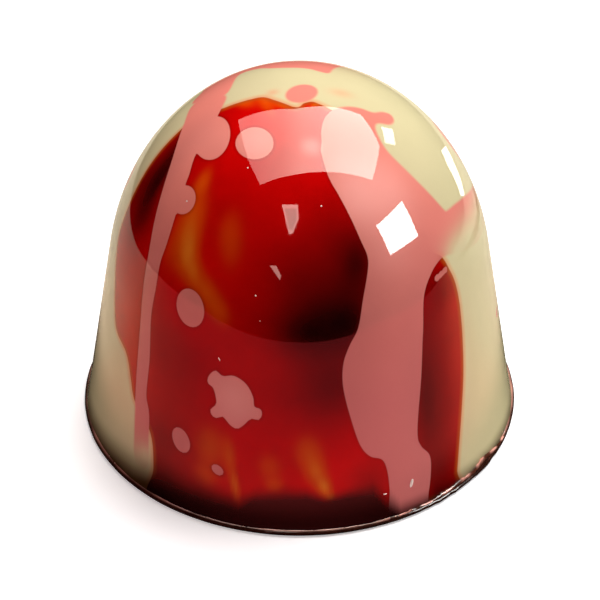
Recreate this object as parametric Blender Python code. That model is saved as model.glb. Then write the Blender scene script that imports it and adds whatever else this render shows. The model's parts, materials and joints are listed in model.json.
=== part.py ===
"""Moulded chocolate praline: a tapered wall under a tall dome, closed by a thin base plate.

Units are metres, +Z is up, and the origin is the centre of the face that the praline rests on.
"""

import math

import bmesh
import bpy
from mathutils import Vector

MM = 0.001

# Moulded shell
HEIGHT = 24.86 * MM             # resting face to the top of the dome
WALL_FOOT_RADIUS = 14.285 * MM  # the straight wall, carried on down to the resting face
WALL_DRAFT = math.radians(8.61)  # how far the wall leans in, so that it leaves the mould
DOME_RADIUS = 12.56 * MM        # half-width of the dome's ellipse
DOME_RISE = 14.77 * MM          # half-height of the dome's ellipse
FLARE = 0.21 * MM               # how far the foot turns out where the mould's lip is rounded
FLARE_REACH = 0.56 * MM         # height in which that flare falls to about a third

# Closing plate
RIM_RADIUS = 14.5 * MM          # widest part of the praline
PLATE_THICKNESS = 0.50 * MM
RIM_CHAMFER = 0.15 * MM         # bevel under the rim
RIM_LAND = 0.20 * MM            # upright band of the rim
RIM_TURN_IN = 0.10 * MM         # how far the rim's upper edge turns in

JOINT_GAP = 0.3 * MM            # clearance between the plate and the shell

SEGMENTS = 80                   # facets round the axis
FOOT_RINGS = 5
WALL_RINGS = 4
DOME_RINGS = 20


def clear_scene():
    for obj in list(bpy.data.objects):
        bpy.data.objects.remove(obj, do_unlink=True)


def chocolate(name, colour, roughness):
    """A plain non-metallic finish."""
    material = bpy.data.materials.new(name)
    material.use_nodes = True
    shader = material.node_tree.nodes["Principled BSDF"]
    shader.inputs["Base Color"].default_value = (*colour, 1.0)
    shader.inputs["Roughness"].default_value = roughness
    shader.inputs["Metallic"].default_value = 0.0
    return material


def wall_radius(z):
    """Radius of the drafted wall, with its flared foot, at height z."""
    return WALL_FOOT_RADIUS - z * math.tan(WALL_DRAFT) + FLARE * math.exp(-z / FLARE_REACH)


def spring_angle():
    """Angle on the dome's ellipse at which its tangent leans as the wall does."""
    return math.atan(DOME_RISE / DOME_RADIUS * math.tan(WALL_DRAFT))


def dome_point(angle):
    """Point (radius, height) of the dome; the angle runs from 0 at its widest to 90 degrees."""
    centre_height = HEIGHT - DOME_RISE
    return DOME_RADIUS * math.cos(angle), centre_height + DOME_RISE * math.sin(angle)


def shell_outline():
    """Half outline of the shell, from the middle of its underside round to the top."""
    underside = PLATE_THICKNESS + JOINT_GAP
    flare_top = underside + 4.0 * FLARE_REACH
    spring = spring_angle()
    spring_height = dome_point(spring)[1]

    points = [(0.0, underside)]
    for ring in range(FOOT_RINGS):
        share = (ring / FOOT_RINGS) ** 1.5
        z = underside + share * (flare_top - underside)
        points.append((wall_radius(z), z))
    for ring in range(WALL_RINGS):
        z = flare_top + ring / WALL_RINGS * (spring_height - flare_top)
        points.append((wall_radius(z), z))
    for ring in range(DOME_RINGS):
        angle = spring + ring / DOME_RINGS * (math.pi / 2 - spring)
        points.append(dome_point(angle))
    points.append((0.0, HEIGHT))
    return points


def plate_outline():
    """Half outline of the closing plate, from the middle of the resting face to its top."""
    land_top = RIM_CHAMFER + RIM_LAND
    return [
        (0.0, 0.0),
        (RIM_RADIUS - RIM_CHAMFER, 0.0),
        (RIM_RADIUS, RIM_CHAMFER),
        (RIM_RADIUS, land_top),
        (RIM_RADIUS - RIM_TURN_IN, PLATE_THICKNESS),
        (0.0, PLATE_THICKNESS),
    ]


def turned(name, outline, material, sharp_angle):
    """A closed solid turned about the Z axis from a half outline."""
    mesh = bpy.data.meshes.new(name)
    bm = bmesh.new()
    ring = [bm.verts.new((radius, 0.0, z)) for radius, z in outline]
    edges = [bm.edges.new(pair) for pair in zip(ring, ring[1:])]
    bmesh.ops.spin(
        bm, geom=ring + edges, cent=Vector(), axis=(0.0, 0.0, 1.0),
        angle=2.0 * math.pi, steps=SEGMENTS, use_merge=True,
    )
    bmesh.ops.remove_doubles(bm, verts=bm.verts, dist=0.001 * MM)
    bmesh.ops.recalc_face_normals(bm, faces=bm.faces)
    bm.to_mesh(mesh)
    bm.free()
    mesh.shade_smooth()
    mesh.set_sharp_from_angle(angle=sharp_angle)
    mesh.materials.append(material)
    obj = bpy.data.objects.new(name, mesh)
    bpy.context.scene.collection.objects.link(obj)
    return obj


def main():
    clear_scene()
    coat = chocolate("ivory_coat", (0.78, 0.66, 0.42), 0.10)
    dark = chocolate("dark_chocolate", (0.035, 0.010, 0.005), 0.30)
    turned("shell", shell_outline(), coat, math.radians(40.0))
    turned("base_plate", plate_outline(), dark, math.radians(30.0))


main()
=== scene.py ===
"""A moulded chocolate praline: a mirror-gloss dome coated in ivory cocoa butter, with a translucent red
patch, runs and drops of pink, and a thin foot of dark chocolate.

Lengths are metres unless a name ends in _MM. A place on the coat is written (azimuth, down): azimuth in
degrees round the axis, 0 at the front and positive to the right, and down in millimetres along the
surface from the top.
"""

import json
import math

import bmesh
import bpy
import numpy as np
from mathutils import Matrix, Vector

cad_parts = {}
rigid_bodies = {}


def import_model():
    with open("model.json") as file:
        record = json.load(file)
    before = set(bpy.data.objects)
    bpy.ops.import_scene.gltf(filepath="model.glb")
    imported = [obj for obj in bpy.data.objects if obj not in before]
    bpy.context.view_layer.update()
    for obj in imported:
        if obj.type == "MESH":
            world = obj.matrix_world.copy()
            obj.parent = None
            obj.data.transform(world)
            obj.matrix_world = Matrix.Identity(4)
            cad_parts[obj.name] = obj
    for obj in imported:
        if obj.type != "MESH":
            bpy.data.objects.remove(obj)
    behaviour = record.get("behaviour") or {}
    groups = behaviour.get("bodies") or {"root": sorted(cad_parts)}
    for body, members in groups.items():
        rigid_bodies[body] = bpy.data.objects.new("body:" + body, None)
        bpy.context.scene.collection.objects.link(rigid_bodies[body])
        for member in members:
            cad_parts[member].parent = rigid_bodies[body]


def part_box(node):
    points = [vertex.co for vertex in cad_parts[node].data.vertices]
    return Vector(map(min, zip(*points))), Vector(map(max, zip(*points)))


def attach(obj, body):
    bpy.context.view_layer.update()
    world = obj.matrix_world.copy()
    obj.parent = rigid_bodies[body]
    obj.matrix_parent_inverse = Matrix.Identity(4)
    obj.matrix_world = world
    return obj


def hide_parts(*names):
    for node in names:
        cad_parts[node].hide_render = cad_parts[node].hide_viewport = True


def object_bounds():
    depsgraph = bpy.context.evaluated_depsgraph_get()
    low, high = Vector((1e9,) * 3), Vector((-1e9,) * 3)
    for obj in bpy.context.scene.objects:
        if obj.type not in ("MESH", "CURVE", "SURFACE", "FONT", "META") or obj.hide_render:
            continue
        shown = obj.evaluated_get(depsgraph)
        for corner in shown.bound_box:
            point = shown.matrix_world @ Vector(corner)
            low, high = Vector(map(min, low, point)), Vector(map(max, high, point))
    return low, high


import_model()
CAD_LOW, CAD_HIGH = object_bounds()

bl_info = {
    "name": "Chocolate praline",
    "version": (1, 0, 0),
    "blender": (4, 5, 0),
    "location": "View3D > Sidebar > Praline",
    "description": "Models a moulded praline with a marbled cocoa butter coat, and a studio for it",
    "category": "Add Mesh",
}

MM = 0.001
BODY = "root"
PLATE_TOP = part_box("base_plate")[1].z


# ---------------------------------------------------------------------------------------------------
# The colours' places on the coat
# ---------------------------------------------------------------------------------------------------

# The translucent red patch that covers most of the front.
RED_PATCH = [
    (-88.5, 8.1), (-90, 6.3), (-85, 5.2), (-83.5, 4.2), (-81.5, 3.2), (-77, 2.35), (-57, 1.85),
    (-30, 1.70), (-13, 1.80), (-1, 1.80), (7, 1.55), (14, 1.45), (33, 1.50), (42, 1.95), (50, 3.2),
    (55, 6.0), (50, 10.0), (49, 13.5), (53, 14.7), (54.5, 15.7), (55.8, 17.2), (55.6, 20.3),
    (54, 23.3), (51.5, 25.8), (48.6, 28.5), (46.8, 30.3), (46.0, 31.6), (20, 31.7), (0, 31.7),
    (-20, 31.7), (-42.4, 31.6), (-42.6, 29.5), (-45, 27.0), (-52.5, 25.6), (-55.5, 24.3),
    (-59.3, 22.8), (-67, 22.1), (-71, 20.5), (-75.2, 18.0), (-78.8, 16.4), (-80.8, 14.3),
    (-84.5, 11.3),
]

# The pink run down the left of the front.
LEFT_RUN = [
    (-107, 7.6), (-89, 8.1), (-74.5, 9.3), (-66.5, 10.9), (-61.2, 12.8), (-57.5, 14.7), (-55.5, 16.8),
    (-54.4, 18.7), (-53.8, 21), (-52.9, 24.4), (-51.3, 28), (-50.3, 29.5), (-47.5, 30.2), (-44.7, 29.4),
    (-45.4, 27.4), (-46.3, 25.6), (-48.1, 24.4), (-48.3, 21.8), (-49.5, 19), (-49.7, 16.6),
    (-50.7, 14.9), (-50.8, 13.5), (-52.3, 11.8), (-55.8, 10), (-58, 9.1), (-62.6, 8.1), (-70, 6.6),
    (-81.8, 5.3), (-102, 5.0),
]

# The broad pink run down the right of the front.
RIGHT_RUN = [
    (46, 2.8), (31, 3.1), (21, 3.9), (17.3, 4.8), (15, 5.5), (15.8, 7.1), (18.7, 8.4), (21.5, 10),
    (23.2, 11.4), (24.4, 12.5), (23.4, 13.4), (20.3, 15.1), (17.8, 16.9), (14.8, 18.0), (12.8, 19.2),
    (12.5, 20.8), (14, 22.8), (16.6, 25.2), (19.4, 26.3), (22.9, 26.8), (24.2, 27.7), (24.6, 29.2),
    (24.6, 31.6), (34, 31.7), (36.4, 30.4), (37.7, 28.9), (37.6, 27.8), (35.0, 26.8), (34.3, 25.6),
    (37, 21.9), (39, 18.8), (41.3, 16.4), (46.3, 15.2), (52.0, 14.75), (56, 14.9), (64, 15.6),
    (76, 16.4), (92, 17.2), (104, 17.6), (112, 16.4), (106, 15.4), (98, 15.0), (88, 14.1), (77.5, 13.25),
    (71, 12.85), (65.2, 12.62), (63.6, 12.35), (61.4, 11.0), (59.0, 9.5), (57.0, 8.0), (56.6, 7.0),
    (59, 6.2), (64, 5.55), (69.5, 5.5), (75.5, 6.2), (81.5, 6.4), (85.8, 6.1), (84, 5.5), (77.8, 4.9),
    (75.3, 4.1), (69.5, 3.4), (58, 2.9),
]

# The splat low on the front.
SPLAT = [
    (-26.8, 20.85), (-24.8, 20.30), (-22.4, 20.55), (-19.0, 20.35), (-15.4, 20.75), (-13.2, 21.6),
    (-12.7, 22.3), (-10.9, 22.45), (-10.5, 22.85), (-11.4, 23.25), (-13.6, 23.25), (-15.6, 23.8),
    (-17.4, 24.15), (-19.4, 24.0), (-21.8, 23.5), (-23.4, 23.72),
    (-24.9, 23.65), (-25.6, 23.25), (-24.0, 22.75), (-24.2, 22.2),
    (-25.2, 21.6), (-26.9, 21.35),
]

# The splash that lies over the back of the dome and runs down the far wall.
BACK_SPLASH = [
    (-102, 5.0), (-134, 5.6), (-146, 4.9), (-152, 4.0), (-165, 3.35), (179, 3.1), (166, 3.0), (153, 2.9),
    (143, 3.2), (149, 4.6), (150, 7.0), (146, 10), (148, 14), (153, 18), (154, 22), (158, 24.6),
    (163, 22), (165, 18), (170, 14.5), (177, 13), (-176, 14.5), (-172, 19), (-171, 24), (-167, 27.4),
    (-161, 28), (-158, 25), (-159.5, 20), (-157, 15.5), (-152.5, 12.8), (-149.5, 15), (-148, 18.5),
    (-144, 20.3), (-140.5, 18.6), (-139.5, 14), (-136, 10.6), (-130, 8.8), (-120, 7.9), (-108, 7.8),
]

# A narrow run on the right of the back.
BACK_RUN = [
    (112, 10.6), (104, 11.2), (101, 12.9), (104, 15), (105.5, 19), (105, 24), (106.5, 28.5), (110, 29.8),
    (113.5, 28.3), (112.5, 24), (114, 19.5), (117.5, 17), (121, 15.2), (121.5, 12.8), (118, 11.2),
]

PINK_OUTLINES = [LEFT_RUN, RIGHT_RUN, SPLAT, BACK_SPLASH, BACK_RUN]

# Pink drops: (azimuth, down, long half-width, short half-width, turn of the long one, from level).
PINK_DROPS = [
    (-34.2, 5.2, 1.31, 1.10, 9),       # below the top
    (-64.5, 6.45, 1.75, 1.28, 20),     # swellings on the left run
    (-52.6, 10.55, 0.95, 0.92, 0),
    (-35.2, 16.6, 1.25, 1.05, 72),
    (-34.2, 26.3, 0.90, 0.67, 66),
    (-22.5, 27.55, 0.45, 0.34, 35),
    (18.8, 0.45, 1.10, 0.88, -20),     # on the very top
    (48.4, 15.7, 0.26, 0.22, 0),       # tip of a short side run
    (50.5, 15.65, 0.23, 0.20, 0),
    (52.6, 15.6, 0.25, 0.20, 0),
    (134, 12.2, 1.15, 0.95, 30),        # behind
    (137, 16.8, 0.60, 0.48, 80),
    (84, 23.5, 0.42, 0.36, 20),
    (-99, 14.5, 1.05, 0.85, 70),
    (-104, 20.6, 0.62, 0.50, 100),
    (-131, 20.5, 1.20, 0.90, 95),
    (-135, 22.7, 0.48, 0.40, 60),
    (-126, 19.2, 0.46, 0.36, 20),
    (176, 22.8, 0.85, 0.70, 85),
    (130, 24.2, 1.15, 0.86, 100),
    (126.5, 26.4, 0.50, 0.40, 90),
    (142, 27.8, 0.42, 0.33, 60),
]

# Soft spots are all written (azimuth, down, half-width across, half-width down the slope, lean in degrees,
# strength). These are a faint pink glaze.
PINK_GLAZE = [
    (-84, 1.7, 0.34, 0.40, 0, 0.45),
    (91, 2.65, 0.45, 0.75, 0, 0.35),
    (-122, 25.5, 1.6, 2.2, 0, 0.30),
    (156, 8.0, 2.2, 3.0, 0, 0.35),
]

# Where the pink is thicker and paler.
PINK_PALE = [
    (28, 8.6, 1.9, 2.2, 0, 0.75),
    (42, 9.2, 1.9, 2.2, 0, 0.55),
    (-34.2, 5.2, 1.6, 1.6, 0, 0.40),
    (-62, 6.6, 2.0, 2.0, 0, 0.15),
    (-19, 22.0, 2.4, 2.4, 0, 0.45),
    (33, 12.5, 1.6, 1.8, 0, 0.25),
]

# Where the pink thins away to nothing.
PINK_THIN = [
    (61, 15.4, 1.5, 1.2, 0, 0.97),
    (70, 15.5, 2.2, 1.3, 0, 0.97),
    (84, 16.1, 2.6, 1.4, 0, 0.97),
    (100, 16.9, 2.8, 1.5, 0, 0.97),
    (-48.5, 30.4, 1.5, 1.9, 0, 1.0),
    (-45.5, 29.2, 0.6, 1.0, 0, 0.7),
    (106, 29.8, 1.2, 1.2, 0, 0.7),
    (-164, 27.8, 1.3, 1.2, 0, 0.6),
]

# Where the red thins and the pale layer under it glows amber.
AMBER_STREAKS = [
    (-48.6, 9.0, 0.50, 0.95, 10, 0.42),
    (-45.5, 10.8, 0.95, 1.5, 10, 0.36),
    (-43.8, 12.2, 0.80, 1.5, 6, 0.50),
    (-41.0, 13.2, 0.62, 1.3, 8, 0.80),
    (-37.0, 14.2, 0.62, 1.1, 24, 0.62),
    (-31.0, 15.1, 0.75, 1.2, 44, 0.46),
    (-25.5, 16.1, 0.75, 1.1, 40, 0.34),
    (-46.5, 13.6, 1.2, 1.6, 8, 0.22),
    (-24.8, 12.0, 0.85, 1.5, 8, 0.22),
    (-28.2, 10.8, 0.80, 1.3, 0, 0.16),
    (-25.0, 26.0, 1.10, 1.5, 0, 0.42),
    (-26.0, 28.2, 0.90, 1.0, 0, 0.30),
    (-19.3, 26.3, 0.40, 1.2, 6, 0.40),
    (-17.4, 28.4, 0.28, 1.2, 10, 0.66),
    (-8.0, 26.7, 0.80, 1.1, 8, 0.28),
    (-6.6, 28.0, 0.60, 0.6, 0, 0.30),
    (2.5, 25.5, 0.85, 1.3, 6, 0.42),
    (4.4, 26.9, 0.62, 1.1, 10, 0.62),
    (6.6, 28.1, 0.42, 0.8, 14, 0.85),
    (8.3, 28.95, 0.25, 0.4, 20, 0.60),
    (-72, 2.35, 1.5, 0.42, 0, 0.50),
    (-30, 1.90, 0.8, 0.24, 0, 0.50),
    (-82, 3.6, 0.9, 0.50, 40, 0.50),
    (38, 1.8, 0.5, 0.16, 0, 0.75),
    (5, 1.9, 0.25, 0.10, 0, 0.55),
]

# Where the dark chocolate under the colour shows through.
DARK_CLOUDS = [
    (13, 16.4, 3.0, 2.8, 0, 1.0),
    (20, 12.8, 1.7, 2.6, -10, 0.88),
    (4, 16.8, 3.0, 2.1, 0, 0.97),
    (-20, 22.5, 6.0, 5.0, 0, 0.20),
    (10, 20.5, 2.8, 3.6, 0, 0.80),
    (12, 10.2, 2.6, 3.0, 0, 0.34),
    (2, 13.6, 3.8, 3.4, 0, 0.55),
    (3, 21.5, 3.0, 2.6, 0, 0.28),
    (-72, 11.0, 1.0, 3.4, 6, 0.92),
    (-77, 8.6, 1.5, 3.0, 6, 0.68),
    (-80, 12.5, 1.9, 3.6, 0, 0.62),
    (-67, 13.2, 1.5, 2.4, 0, 0.60),
    (-33, 20.5, 2.6, 3.6, 0, 0.42),
    (-46, 20.0, 2.4, 5.0, 0, 0.34),
    (-40, 26.8, 2.8, 2.8, 0, 0.62),
    (-42, 29.5, 2.2, 1.6, 0, 0.50),
    (-12, 29.9, 4.0, 0.9, 0, 0.35),
    (38.2, 23.2, 1.7, 7.0, 0, 0.86),
    (45.5, 22.5, 2.2, 9.5, 0, 0.56),
    (40, 29.6, 1.8, 2.0, 0, 0.55),
    (49, 16.4, 1.8, 1.5, 0, 0.55),
    (19, 28.4, 1.6, 1.8, 0, 0.50),
    (0, 1.98, 1.3, 0.07, 0, 0.75),
]

# How high a painted shade darkens the coat towards the foot, partly the chocolate foot showing through the
# coat, (azimuth, height in mm where it is half gone, and the height in mm over which it fades).
FOOT_SHADE = [
    (-180, 1.1, 0.9), (-110, 1.0, 0.9), (-85, 0.9, 1.0), (-65, 1.25, 1.2), (-50, 1.7, 1.4),
    (-38, 2.6, 1.5), (-28, 2.6, 1.3), (-20, 2.35, 0.9), (-16, 2.1, 0.8), (-12, 2.9, 0.7), (-4, 3.3, 0.8),
    (2, 3.25, 0.6), (7, 2.75, 0.45), (13, 3.0, 0.55), (20, 3.0, 0.8), (24, 1.9, 1.1), (27.5, 0.9, 0.7),
    (36, 0.9, 0.7), (39, 1.2, 1.0), (46, 1.0, 0.9), (60, 0.8, 0.7),
    (80, 0.8, 0.8), (110, 1.0, 0.9), (150, 1.2, 1.1),
    (180, 1.1, 0.9),
]


# ---------------------------------------------------------------------------------------------------
# Settings
# ---------------------------------------------------------------------------------------------------


class PralineShape(bpy.types.PropertyGroup):
    height: bpy.props.FloatProperty(
        name="Height", description="From the resting face to the top of the dome",
        default=CAD_HIGH.z - CAD_LOW.z, min=0.01, precision=5, unit="LENGTH",
    )
    wall_foot_radius: bpy.props.FloatProperty(
        name="Wall radius at the foot", description="The straight wall, carried on to the resting face",
        default=14.285 * MM, precision=5, unit="LENGTH",
    )
    draft: bpy.props.FloatProperty(
        name="Draft", description="How far the wall leans in, so that it leaves its mould",
        default=math.radians(8.61), subtype="ANGLE", unit="ROTATION",
    )
    dome_radius: bpy.props.FloatProperty(
        name="Dome radius", description="Half-width of the dome's ellipse",
        default=12.56 * MM, precision=5, unit="LENGTH",
    )
    dome_rise: bpy.props.FloatProperty(
        name="Dome rise", description="Half-height of the dome's ellipse",
        default=14.77 * MM, precision=5, unit="LENGTH",
    )
    flare: bpy.props.FloatProperty(
        name="Foot flare", description="How far the foot turns out",
        default=0.21 * MM, precision=6, unit="LENGTH",
    )
    flare_reach: bpy.props.FloatProperty(
        name="Flare reach", description="Height in which the flare falls to about a third",
        default=0.56 * MM, precision=6, unit="LENGTH",
    )
    rim_radius: bpy.props.FloatProperty(
        name="Rim radius", description="Widest part of the foot",
        default=(CAD_HIGH.x - CAD_LOW.x) / 2, precision=5, unit="LENGTH",
    )
    segments: bpy.props.IntProperty(
        name="Segments", description="Facets round the axis", default=380, min=32, max=480,
    )


class PralineColours(bpy.types.PropertyGroup):
    ivory: bpy.props.FloatVectorProperty(
        name="Ivory", description="The pale coat", subtype="COLOR", size=3, min=0, max=1,
        default=(0.65, 0.57, 0.325),
    )
    red: bpy.props.FloatVectorProperty(
        name="Red", description="The translucent patch", subtype="COLOR", size=3, min=0, max=1,
        default=(0.62, 0.001, 0.001),
    )
    amber: bpy.props.FloatVectorProperty(
        name="Amber", description="Where the red is thin", subtype="COLOR", size=3, min=0, max=1,
        default=(0.80, 0.19, 0.012),
    )
    dark: bpy.props.FloatVectorProperty(
        name="Dark chocolate", description="The shell under the colour", subtype="COLOR", size=3,
        min=0, max=1, default=(0.012, 0.001, 0.001),
    )
    pink: bpy.props.FloatVectorProperty(
        name="Pink", description="The splashed cocoa butter", subtype="COLOR", size=3, min=0, max=1,
        default=(0.80, 0.235, 0.180),
    )
    foot: bpy.props.FloatVectorProperty(
        name="Foot", description="The closing layer of dark chocolate", subtype="COLOR", size=3,
        min=0, max=1, default=(0.030, 0.008, 0.004),
    )


class PralineStudio(bpy.types.PropertyGroup):
    camera_distance: bpy.props.FloatProperty(
        name="Camera distance", description="From the point that the camera looks at",
        default=219.6 * MM, precision=4, unit="LENGTH",
    )
    camera_height: bpy.props.FloatProperty(
        name="Camera elevation", description="Angle above the table",
        default=math.radians(37.65), subtype="ANGLE", unit="ROTATION",
    )
    lens: bpy.props.FloatProperty(
        name="Lens", description="Focal length on a 36 mm sensor, in mm", default=199.4, min=10,
    )
    key: bpy.props.FloatProperty(
        name="Key lamp", description="Power of the soft lamp above on the right", default=1.24,
        subtype="POWER", unit="POWER", min=0,
    )
    back: bpy.props.FloatProperty(
        name="Back lamp", description="Power of the soft lamp above and behind", default=0.58,
        subtype="POWER", unit="POWER", min=0,
    )
    fill: bpy.props.FloatProperty(
        name="Fill lamp", description="Power of the faint rosy lamp at the front on the left",
        default=0.10, subtype="POWER", unit="POWER", min=0,
    )


# ---------------------------------------------------------------------------------------------------
# Modelling helpers
# ---------------------------------------------------------------------------------------------------


def deselect_all():
    if bpy.context.mode != "OBJECT":
        bpy.ops.object.mode_set(mode="OBJECT")
    for obj in bpy.context.view_layer.objects:
        obj.select_set(False)


def activate(obj):
    deselect_all()
    obj.select_set(True)
    bpy.context.view_layer.objects.active = obj


def edit(obj):
    activate(obj)
    bpy.ops.object.mode_set(mode="EDIT")
    bpy.ops.mesh.select_mode(type="VERT")


def turn_faces_out(obj):
    edit(obj)
    bpy.ops.mesh.select_all(action="SELECT")
    bpy.ops.mesh.normals_make_consistent(inside=False)
    bpy.ops.object.mode_set(mode="OBJECT")


def select_vertices(obj, wanted):
    """In edit mode, selects the vertices for whose place wanted() is true."""
    bm = bmesh.from_edit_mesh(obj.data)
    for element in [*bm.faces, *bm.edges, *bm.verts]:
        element.select = False
    for vertex in bm.verts:
        vertex.select = bool(wanted(vertex.co))
    bm.select_flush_mode()
    bmesh.update_edit_mesh(obj.data)


def extrude_along(points):
    """Extrudes the one selected vertex from the first point through the rest."""
    for start, stop in zip(points, points[1:]):
        step = (stop[0] - start[0], 0.0, stop[1] - start[1])
        bpy.ops.mesh.extrude_region_move(TRANSFORM_OT_translate={"value": step})


def spin_closed(obj, segments):
    """Turns the half outline in edit mode into a closed solid about the Z axis."""
    bpy.ops.mesh.select_all(action="SELECT")
    bpy.ops.mesh.spin(
        steps=segments, angle=2 * math.pi, center=(0, 0, 0), axis=(0, 0, 1), use_auto_merge=True,
    )
    bpy.ops.mesh.select_all(action="SELECT")
    bpy.ops.mesh.remove_doubles(threshold=0.001 * MM)
    bpy.ops.mesh.normals_make_consistent(inside=False)
    bpy.ops.object.mode_set(mode="OBJECT")


def apply_place(obj):
    activate(obj)
    bpy.ops.object.transform_apply(location=True, rotation=True, scale=True)


def vertex_places(obj):
    places = np.empty(len(obj.data.vertices) * 3)
    obj.data.vertices.foreach_get("co", places)
    return places.reshape(-1, 3)


def move_vertices(obj, places):
    obj.data.vertices.foreach_set("co", places.astype(np.float32).ravel())
    obj.data.update()


def store(obj, name, values):
    attribute = obj.data.attributes.new(name, "FLOAT", "POINT")
    attribute.data.foreach_set("value", values.astype(np.float32))


def join(objects, name):
    activate(objects[0])
    for obj in objects:
        obj.select_set(True)
    bpy.ops.object.join()
    objects[0].name = name
    return objects[0]


def finish_piece(obj, material, node=None):
    obj.data.materials.clear()
    obj.data.materials.append(material)
    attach(obj, BODY)
    if node:
        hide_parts(node)


# ---------------------------------------------------------------------------------------------------
# The praline's outline
# ---------------------------------------------------------------------------------------------------


class Outline:
    """The turned outline, and the way between a place on the coat and a point in space."""

    def __init__(self, shape):
        self.shape = shape
        self.centre_height = shape.height - shape.dome_rise
        self.spring = math.atan(shape.dome_rise / shape.dome_radius * math.tan(shape.draft))
        self.spring_height = self.centre_height + shape.dome_rise * math.sin(self.spring)
        angles = np.linspace(math.pi / 2, self.spring, 1200)
        heights = np.linspace(self.spring_height, 0.0, 800)[1:]
        self.radii = np.concatenate([shape.dome_radius * np.cos(angles), self.wall_radius(heights)])
        rises = self.centre_height + shape.dome_rise * np.sin(angles)
        self.heights = np.concatenate([rises, heights])
        steps = np.hypot(np.diff(self.radii), np.diff(self.heights))
        self.down = np.concatenate([[0.0], np.cumsum(steps)]) / MM

    def wall_radius(self, height):
        shape = self.shape
        flare = shape.flare * np.exp(-height / shape.flare_reach)
        return shape.wall_foot_radius - height * math.tan(shape.draft) + flare

    def point(self, azimuth, down):
        """The points in space, in mm, at these places on the coat."""
        radius = np.interp(down, self.down, self.radii) / MM
        height = np.interp(down, self.down, self.heights) / MM
        angle = np.radians(azimuth)
        return np.stack([radius * np.sin(angle), -radius * np.cos(angle), height], -1)

    def place(self, points):
        """The (azimuth, down) of points on the coat, given in metres."""
        radius = np.hypot(points[:, 0], points[:, 1])
        down = np.interp(radius - points[:, 2], self.radii - self.heights, self.down)
        return np.degrees(np.arctan2(points[:, 0], -points[:, 1])), down

    def slope(self, azimuth, down):
        """Unit vectors level round the coat and straight down its slope."""
        angle = math.radians(azimuth)
        level = np.array([math.cos(angle), math.sin(angle), 0.0])
        fall = self.point(azimuth, down + 0.05) - self.point(azimuth, down - 0.05)
        return level, fall / np.linalg.norm(fall)


def unroll(azimuth, down):
    """A flat map of the coat, with the top at its centre."""
    angle = np.radians(azimuth)
    return np.stack([down * np.sin(angle), -down * np.cos(angle)], -1)


def rounded(corners, per_span=6):
    """A smooth closed line through the corners of an outline, on the flat map."""
    flat = unroll(*np.array(corners, float).T)
    before, after, later = np.roll(flat, 1, 0), np.roll(flat, -1, 0), np.roll(flat, -2, 0)
    line = []
    for share in np.arange(per_span) / per_span:
        line.append(
            flat
            + 0.5 * share * (after - before)
            + share**2 * (before - 2.5 * flat + 2.0 * after - 0.5 * later)
            + share**3 * (1.5 * (flat - after) + 0.5 * (later - before))
        )
    return np.stack(line, 1).reshape(-1, 2)


def outline_distance(points, flat_points, corners, outline):
    """Distance in mm from each point to a closed outline, negative inside it."""
    line = rounded(corners)
    azimuth = np.degrees(np.arctan2(line[:, 0], -line[:, 1]))
    rim = outline.point(azimuth, np.hypot(line[:, 0], line[:, 1]))
    nearest = np.full(len(points), np.inf)
    inside = np.zeros(len(points), bool)
    x, y = flat_points.T
    for i in range(len(line)):
        start, span = rim[i - 1], rim[i] - rim[i - 1]
        offset = points - start
        share = np.clip(offset @ span / max(span @ span, 1e-9), 0.0, 1.0)
        nearest = np.minimum(nearest, ((offset - share[:, None] * span) ** 2).sum(1))
        (x0, y0), (x1, y1) = line[i - 1], line[i]
        if y0 != y1:
            inside ^= ((y0 > y) != (y1 > y)) & (x < x0 + (y - y0) * (x1 - x0) / (y1 - y0))
    return np.where(inside, -1.0, 1.0) * np.sqrt(nearest)


def drop_distance(points, drop, outline):
    """Roughly the distance in mm from each point to an oval drop, negative inside it."""
    azimuth, down, long_half, short_half, turn = drop
    level, fall = outline.slope(azimuth, down)
    c, s = math.cos(math.radians(turn)), math.sin(math.radians(turn))
    offset = points - outline.point(azimuth, down)
    normal = np.cross(level, fall)
    u, v = offset @ (c * level + s * fall), offset @ (c * fall - s * level)
    scaled = np.sqrt((u / long_half) ** 2 + (v / short_half) ** 2 + (0.4 * (offset @ normal)) ** 2)
    slope = np.sqrt((u / long_half**2) ** 2 + (v / short_half**2) ** 2) + 1e-6
    return scaled * (scaled - 1.0) / slope


def soft_spot(points, spot, outline):
    """1 at the middle of a soft oval spot, falling smoothly to 0 outside it."""
    azimuth, down, across, along, lean, _ = spot
    level, fall = outline.slope(azimuth, down)
    c, s = math.cos(math.radians(lean)), math.sin(math.radians(lean))
    offset = points - outline.point(azimuth, down)
    depth = offset @ np.cross(level, fall)
    u, v = offset @ (c * level - s * fall), offset @ (c * fall + s * level)
    near = np.clip(1.0 - np.abs(depth) / 8.0, 0.0, 1.0)
    return near * np.exp(-((u / across) ** 2) - (v / along) ** 2)


def melt(first, second, reach=0.12):
    """The smaller of two distances, rounded where they meet, as paint that runs together."""
    near = np.clip(0.5 + 0.5 * (second - first) / reach, 0.0, 1.0)
    return second * (1 - near) + first * near - reach * near * (1 - near)


def gather(spots):
    """Several soft spots laid over each other."""
    left = 1.0
    for spot in spots:
        left = left * (1.0 - np.clip(spot, 0.0, 1.0))
    return 1.0 - left


# ---------------------------------------------------------------------------------------------------
# Material helpers
# ---------------------------------------------------------------------------------------------------


def add(tree, kind, place, **settings):
    node = tree.nodes.new(kind)
    node.location = place
    for name, value in settings.items():
        setattr(node, name, value)
    return node


def wire(tree, source, target):
    """Links an output to an input, or sets the input where source is a plain value."""
    if isinstance(source, bpy.types.NodeSocket):
        tree.links.new(source, target)
    else:
        target.default_value = source


def math_node(tree, operation, place, *values, clamp=False):
    node = add(tree, "ShaderNodeMath", place, operation=operation, use_clamp=clamp)
    for value, socket in zip(values, node.inputs):
        wire(tree, value, socket)
    return node.outputs[0]


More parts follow.
